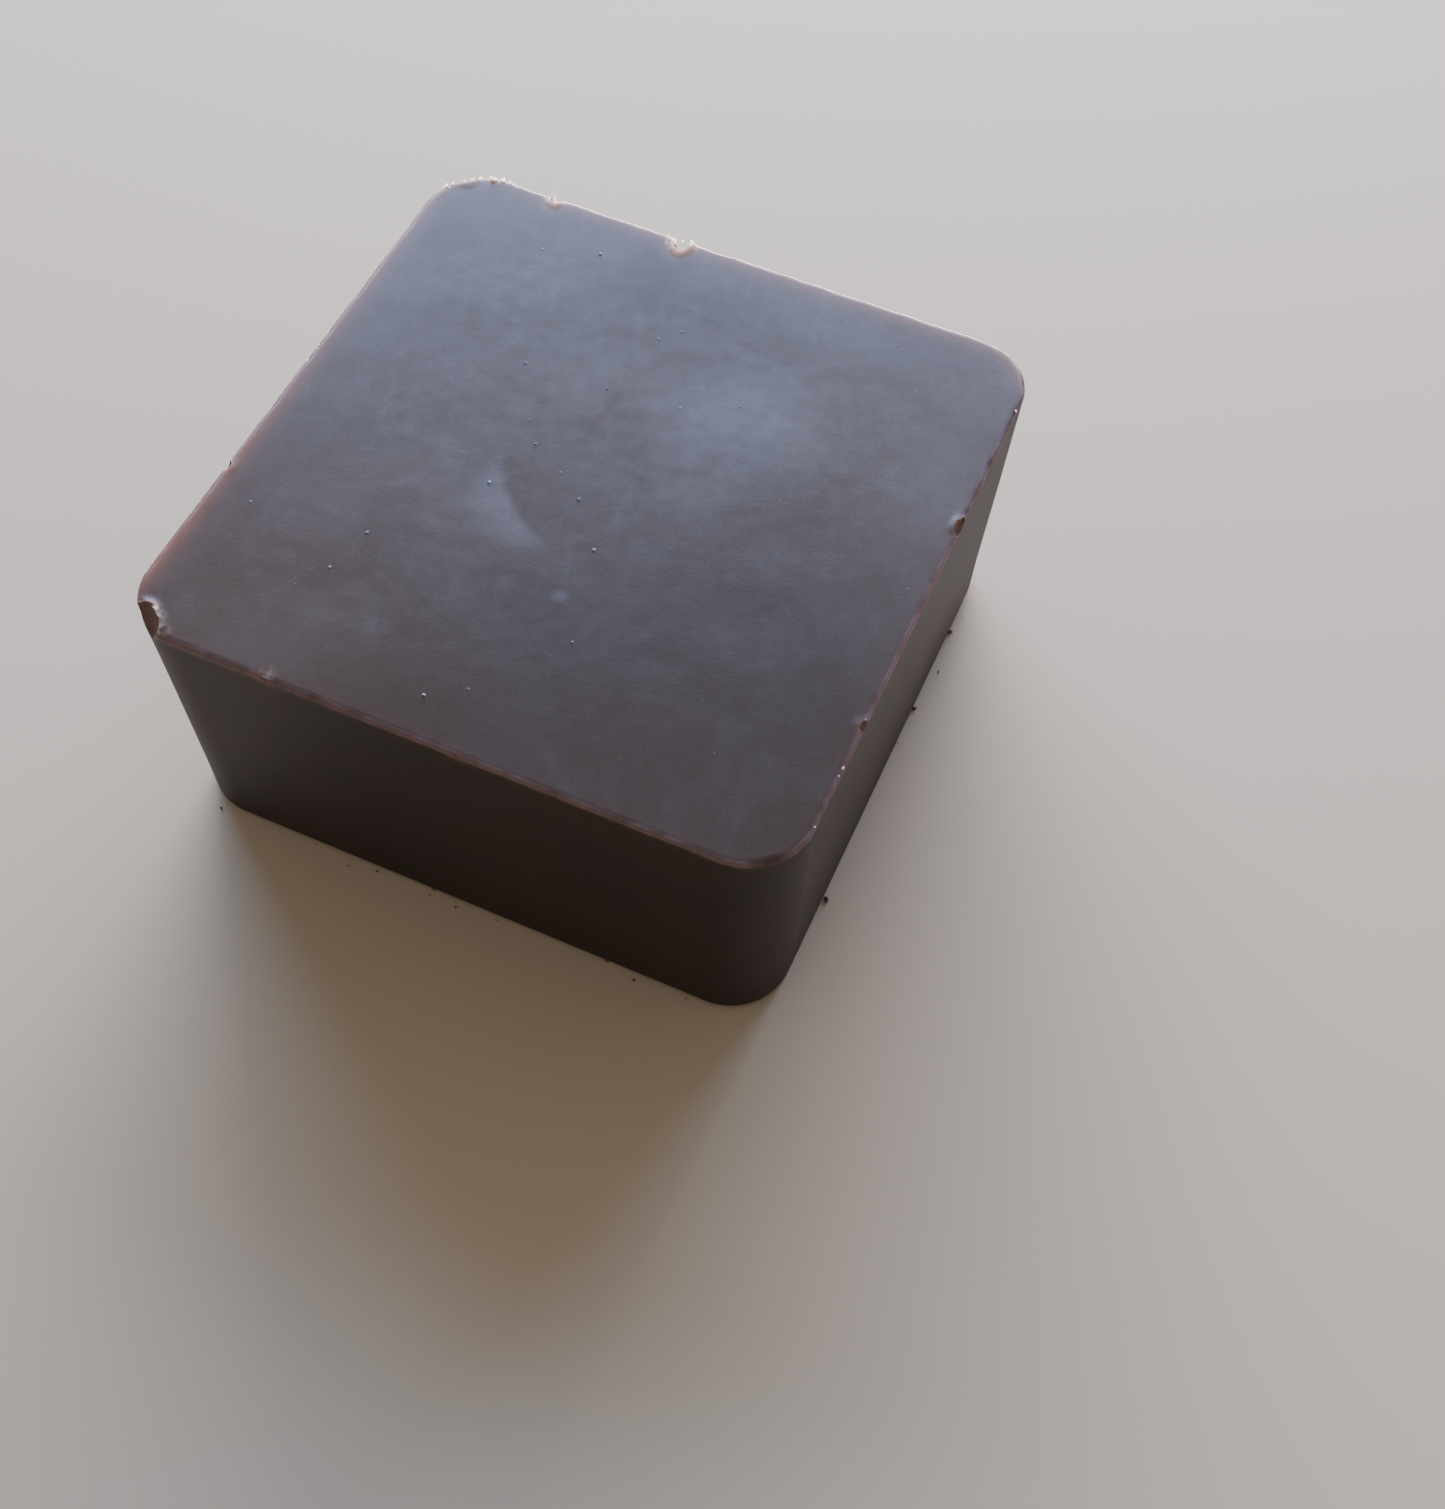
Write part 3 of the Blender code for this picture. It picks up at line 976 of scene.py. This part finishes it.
def foot_crumbs(material):
    """Crumbs that have fallen round the foot."""
    growth = Growth("foot_crumbs", {
        "Material": material,
        "Crumbs per square metre": 6.0e5,
        "Smallest": 0.08 * MM,
        "Largest": 0.34 * MM,
        "Flatness": 0.7,
        "Seed": 12,
    })
    given = growth.given
    places = growth.node("GeometryNodeDistributePointsOnFaces", {}, {
        "Mesh": given.out("Geometry"),
        "Density": given.out("Crumbs per square metre"),
        "Seed": given.out("Seed"),
    })
    chance = growth.random(0.0, 1.0, given.out("Seed"))
    spread = given.out("Largest") - given.out("Smallest")
    places = growth.store(places, "size", given.out("Smallest") + spread * chance ** 3.0)
    size = growth.stored("size")
    places = growth.node("GeometryNodeSetPosition", {}, {
        "Geometry": places,
        "Offset": growth.joined(0.0, 0.0, size * given.out("Flatness") * 0.42),
    })
    crumbs = growth.node("GeometryNodeInstanceOnPoints", {}, {
        "Points": places,
        "Instance": growth.node("GeometryNodeMeshIcoSphere", {}, {"Radius": 0.5, "Subdivisions": 2}),
        "Rotation": growth.random_turn((0.0, 0.0, 0.0), (0.3, 0.3, math.tau), given.out("Seed")),
        "Scale": growth.joined(size, size * 0.8, size * given.out("Flatness")),
    })
    solid = growth.node("GeometryNodeRealizeInstances", {}, {"Geometry": crumbs})
    solid = growth.roughened(solid, growth.stored("size") * 0.9, 0.14 * MM)
    place = growth.node("GeometryNodeInputPosition")
    parts = growth.node("ShaderNodeSeparateXYZ", {}, {"Vector": place})
    lifted = growth.joined(parts.out("X"), parts.out("Y"), parts.out("Z").maths("MAXIMUM", 0.002 * MM))
    solid = growth.node("GeometryNodeSetPosition", {}, {"Geometry": solid, "Position": lifted})
    growth.finish(solid)
    return growth.grow("foot_crumbs", foot_strip())


# Materials --------------------------------------------------------------------------------------

# Colours of the fudge's moulded walls.
DARK = (0.035, 0.021, 0.017, 1.0)
WARM = (0.048, 0.026, 0.020, 1.0)
# Of its poured face: under the bloom, the same in painted shade, and the bloom itself with its painted
# sheen.
BARE = (0.104, 0.054, 0.024, 1.0)
BARE_IN_SHADE = (0.068, 0.038, 0.021, 1.0)
BLOOM_AND_SHEEN = (0.390, 0.420, 0.490, 1.0)
# Of its lip, a painted red glow of light through its thin edge, and of the light from behind that shines
# through, painted as a glow.
LIP_GLOW_TOP = (0.130, 0.052, 0.040, 1.0)
LIP_GLOW_SIDE = (0.420, 0.270, 0.255, 1.0)
SHINE = (1.000, 0.350, 0.170, 1.0)
GLOW = (0.850, 0.570, 0.420, 1.0)
# Of its broken and torn places.
BROKEN = (0.340, 0.200, 0.170, 1.0)
PALE_BREAK = (0.420, 0.270, 0.205, 1.0)
CREAM = (0.960, 0.720, 0.490, 1.0)
# Of the small things and the floor.
SUGAR = (0.310, 0.310, 0.330, 1.0)
DULL_SUGAR = (0.210, 0.200, 0.195, 1.0)
# The flakes' pale colour is partly painted light from behind shining through them.
FLAKE = (0.850, 0.740, 0.620, 1.0)
RED_FLAKE = (0.500, 0.300, 0.220, 1.0)
CRUMB = (0.170, 0.095, 0.062, 1.0)
PALE_CRUMB = (0.300, 0.200, 0.140, 1.0)
FLOOR = (0.860, 0.680, 0.480, 1.0)
NO_LIGHT = (0.0, 0.0, 0.0, 1.0)


def fudge_finish():
    """Dark satin fudge: cloudy bloom with painted sheen and shade on the poured face, a painted red glow
    where thin, granular where broken.
    """
    finish = Finish("fudge")
    marks = Marks(*(finish.attribute(name) for name in Marks._fields))
    poured, broken, glow = marks.poured, marks.broken, marks.glow
    cloud = finish.noise(7.0 * MM, distortion=0.5)
    tilted = finish.turned(35.0, 33.0)
    wool = finish.noise(1.5 * MM, detail=6.0, roughness=0.68, distortion=0.4, place=tilted)
    drawn = finish.turned(0.0, 22.0, (0.8, 2.8, 1.0))
    drag = finish.noise(0.8 * MM, detail=4.0, roughness=0.62, distortion=0.3, place=drawn)
    grain = finish.noise(0.12 * MM, roughness=0.6)
    shred = finish.noise(0.32 * MM, roughness=0.6, distortion=0.5)

    # Bloom and painted sheen: the cloudy noise is the bloom's own unevenness, the creases and patches of
    # haze add painted highlight and shade, and plain adds painted shade.
    bloom_and_sheen = 0.20 * (cloud - 0.5) + 0.24 * (wool - 0.5) + 0.17 * (drag - 0.5)
    bloom_and_sheen = bloom_and_sheen + 0.34 * marks.haze - 0.12 * marks.plain
    bloom_and_sheen = 0.8 * bloom_and_sheen.ease(-0.22, 1.06)
    bare = finish.blend(marks.plain, BARE, BARE_IN_SHADE)
    colour = finish.blend(cloud.ease(0.35, 0.7), DARK, WARM)
    colour = finish.blend(poured, colour, finish.blend(bloom_and_sheen, bare, BLOOM_AND_SHEEN))
    # Painted red glow along the thin lip.
    colour = finish.blend(marks.lip * (0.5 + 0.7 * wool), colour, LIP_GLOW_TOP)
    colour = finish.blend(marks.lip.ease(0.35, 0.6) * 0.55, colour, LIP_GLOW_SIDE)
    colour = finish.blend(broken * (0.5 + 0.5 * grain), colour, BROKEN)
    colour = finish.blend(marks.torn * marks.torn * wool.ease(0.35, 0.6) * 0.5, colour, PALE_BREAK)
    # Painted glow of light from behind beside the far chips, in the colour as well as in the emission.
    colour = finish.blend(glow * (1.0 - 0.6 * broken), colour, GLOW)
    # Torn cream fudge, partly a painted highlight.
    colour = finish.blend(marks.pale * shred.ease(0.38, 0.58), colour, CREAM)
    # Light from behind, painted as emission: through the lip and beside the far chips.
    through = finish.blend(glow, finish.blend(marks.shine, NO_LIGHT, SHINE), GLOW)

    roughness = 0.58 - 0.30 * poured + 0.04 * cloud + 0.10 * bloom_and_sheen * poured + 0.20 * broken
    relief = finish.bump(wool, 0.008 * MM)
    relief = finish.bump(grain, 0.004 * MM, relief)
    relief = finish.bump(grain * broken, 0.06 * MM, relief)
    return finish.surface({
        "Base Color": colour,
        "Roughness": roughness,
        "IOR": 1.52,
        "Specular Tint": (0.85, 0.94, 1.0, 1.0),
        "Subsurface Weight": 0.25,
        "Subsurface Radius": (1.0, 0.25, 0.1),
        "Subsurface Scale": 0.6 * MM,
        "Emission Color": through,
        "Emission Strength": 0.42,
        "Normal": relief,
    })


def sugar_finish():
    """Small dull crystals of sugar."""
    finish = Finish("sugar")
    shade = finish.noise(0.2 * MM, detail=2.0)
    return finish.surface({
        "Base Color": finish.blend(shade.ease(0.3, 0.7), SUGAR, DULL_SUGAR),
        "Roughness": 0.75,
        "IOR": 1.4,
    })


def flake_finish():
    """Thin torn fudge, pale, with the light behind it that shines through painted as a glow."""
    finish = Finish("thin_flake")
    shade = finish.noise(0.25 * MM, detail=2.0)
    colour = finish.blend(shade.ease(0.62, 0.74), FLAKE, RED_FLAKE)
    return finish.surface({
        "Base Color": colour,
        "Roughness": 0.4,
        "Subsurface Weight": 1.0,
        "Subsurface Radius": (1.0, 0.8, 0.7),
        "Subsurface Scale": 0.4 * MM,
        # Painted glow of light from behind shining through.
        "Emission Color": colour,
        "Emission Strength": 0.8,
    })


def crumb_finish():
    """Crumbs of broken fudge, some browner and some dusted paler."""
    finish = Finish("crumb")
    shade = finish.noise(1.2 * MM, detail=2.0)
    grain = finish.noise(0.08 * MM, detail=2.0)
    return finish.surface({
        "Base Color": finish.blend(shade.ease(0.45, 0.65), CRUMB, PALE_CRUMB),
        "Roughness": 0.55,
        "Normal": finish.bump(grain, 0.01 * MM),
    })


def floor_finish():
    """The plain pale floor."""
    finish = Finish("pale_floor")
    return finish.surface({"Base Color": FLOOR, "Roughness": 0.7})


# Stage ------------------------------------------------------------------------------------------

def floor():
    """A wide round floor under the piece."""
    work = bmesh.new()
    bmesh.ops.create_circle(work, cap_ends=True, segments=64, radius=3.0)
    mesh = bpy.data.meshes.new("floor")
    work.to_mesh(mesh)
    work.free()
    mesh.materials.append(floor_finish())
    show("floor", mesh)


def towards(azimuth, elevation, distance):
    """A point seen from the block at an azimuth (0 is +Y, counter-clockwise) and elevation."""
    turn, rise = math.radians(azimuth), math.radians(elevation)
    level = Vector((-math.sin(turn), math.cos(turn), 0.0)) * math.cos(rise)
    return (level + Vector((0.0, 0.0, math.sin(rise)))) * distance


def softbox(name, place, width, height, power, colour):
    """A soft lamp that faces the block and isn't seen itself."""
    data = bpy.data.lights.new(name, "AREA")
    data.shape = "RECTANGLE"
    data.size, data.size_y = width, height
    data.energy, data.color = power, colour
    lamp = bpy.data.objects.new(name, data)
    lamp.location = place
    lamp.rotation_mode = "QUATERNION"
    lamp.rotation_quaternion = place.to_track_quat("Z", "Y")
    lamp.visible_camera = False
    bpy.context.scene.collection.objects.link(lamp)


def light_the_scene():
    """The window behind the piece, a low light on its far rim, and a dim warm room."""
    window = towards(WINDOW_AZIMUTH, elevation=27.5, distance=0.40)
    softbox("window_softbox", window, width=0.55, height=0.22, power=4.1, colour=(0.36, 0.56, 1.0))
    low = towards(azimuth=18, elevation=8, distance=0.36)
    softbox("rim_light", low, width=0.30, height=0.07, power=4.0, colour=(1.0, 0.88, 0.80))
    world = bpy.data.worlds.new("room")
    world.use_nodes = True
    background = world.node_tree.nodes["Background"]
    background.inputs["Color"].default_value = (1.0, 0.94, 0.89, 1.0)
    background.inputs["Strength"].default_value = 0.25
    bpy.context.scene.world = world


def camera():
    """The camera, where the photograph was taken from."""
    data = bpy.data.cameras.new("camera")
    data.lens, data.sensor_width, data.sensor_fit = LENS, 36.0, "AUTO"
    data.clip_start = 1 * MM
    lens = bpy.data.objects.new("camera", data)
    right = CAMERA_AIM.cross(CAMERA_UP).normalized()
    up = right.cross(CAMERA_AIM).normalized()
    turn = Matrix((right, up, -CAMERA_AIM.normalized())).transposed()
    lens.matrix_world = Matrix.Translation(CAMERA_PLACE) @ turn.to_4x4()
    bpy.context.scene.collection.objects.link(lens)
    bpy.context.scene.camera = lens


camera()
light_the_scene()
floor()

fudge = fudge_piece(fudge_finish())
specks = sugar_specks(fudge, sugar_finish())
flakes = lip_flakes(flake_finish())
crumbs = foot_crumbs(crumb_finish())

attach(fudge, "root")
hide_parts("fudge")
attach(specks, "root")
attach(flakes, "root")
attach(crumbs, "root")
